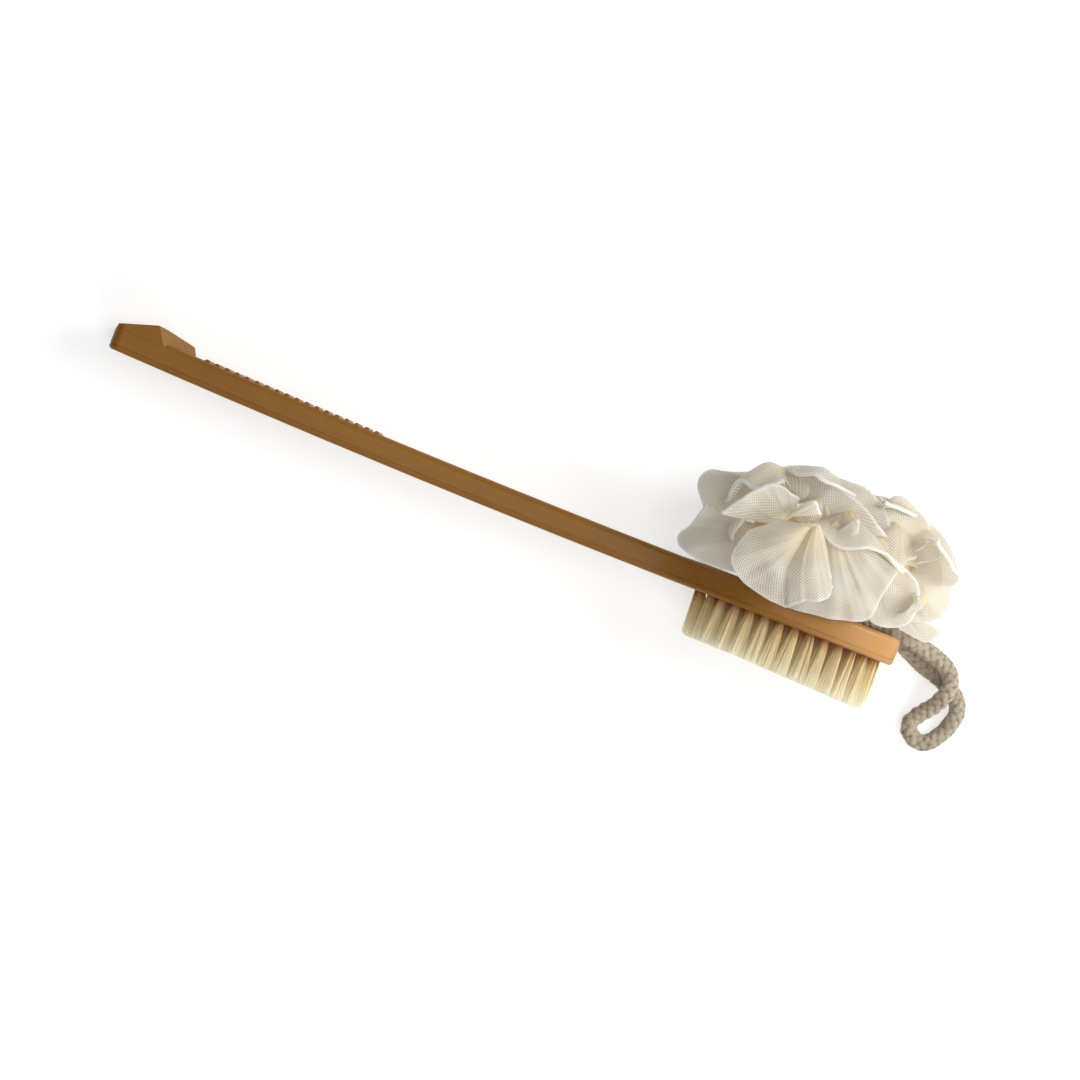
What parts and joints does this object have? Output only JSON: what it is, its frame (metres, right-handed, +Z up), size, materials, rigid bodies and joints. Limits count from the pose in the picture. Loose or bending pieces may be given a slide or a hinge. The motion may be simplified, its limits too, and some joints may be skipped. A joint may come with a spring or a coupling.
{
  "type": "bath brush",
  "caption": "Long-handled two-sided bath brush: oval head with dry bristles on one face, a gathered net pouf on the other, and a braided rope loop for hanging.",
  "frame": {"origin": "middle of the bottom of the box round the brush as it lies on its side, without the rope", "axes": "+X along the handle from butt to head, +Y from the bristles towards the pouf, +Z up"},
  "size_m": [0.4448, 0.105, 0.1004],
  "materials": {
    "handle": "satin moulded, tan",
    "bristle": "cream bristle",
    "anchor": "plain",
    "net": "fine soft net, ivory",
    "tie": "plain cord",
    "rope": "thick braided cotton"
  },
  "bodies": {
    "root": {"handle_shell": "handle", "base_cover": "handle", "bristles_ring_1": "bristle", "bristles_ring_2": "bristle", "bristles_ring_3": "bristle", "bristles_middle_row": "bristle", "staples_ring_1": "anchor", "staples_ring_2": "anchor", "staples_ring_3": "anchor", "staples_middle_row": "anchor", "pouf_net_1": "net", "pouf_net_2": "net", "pouf_net_3": "net", "pouf_tie_cord": "tie", "rope_knot": "rope", "hanging_rope": "rope"}
  },
  "joints": []
}
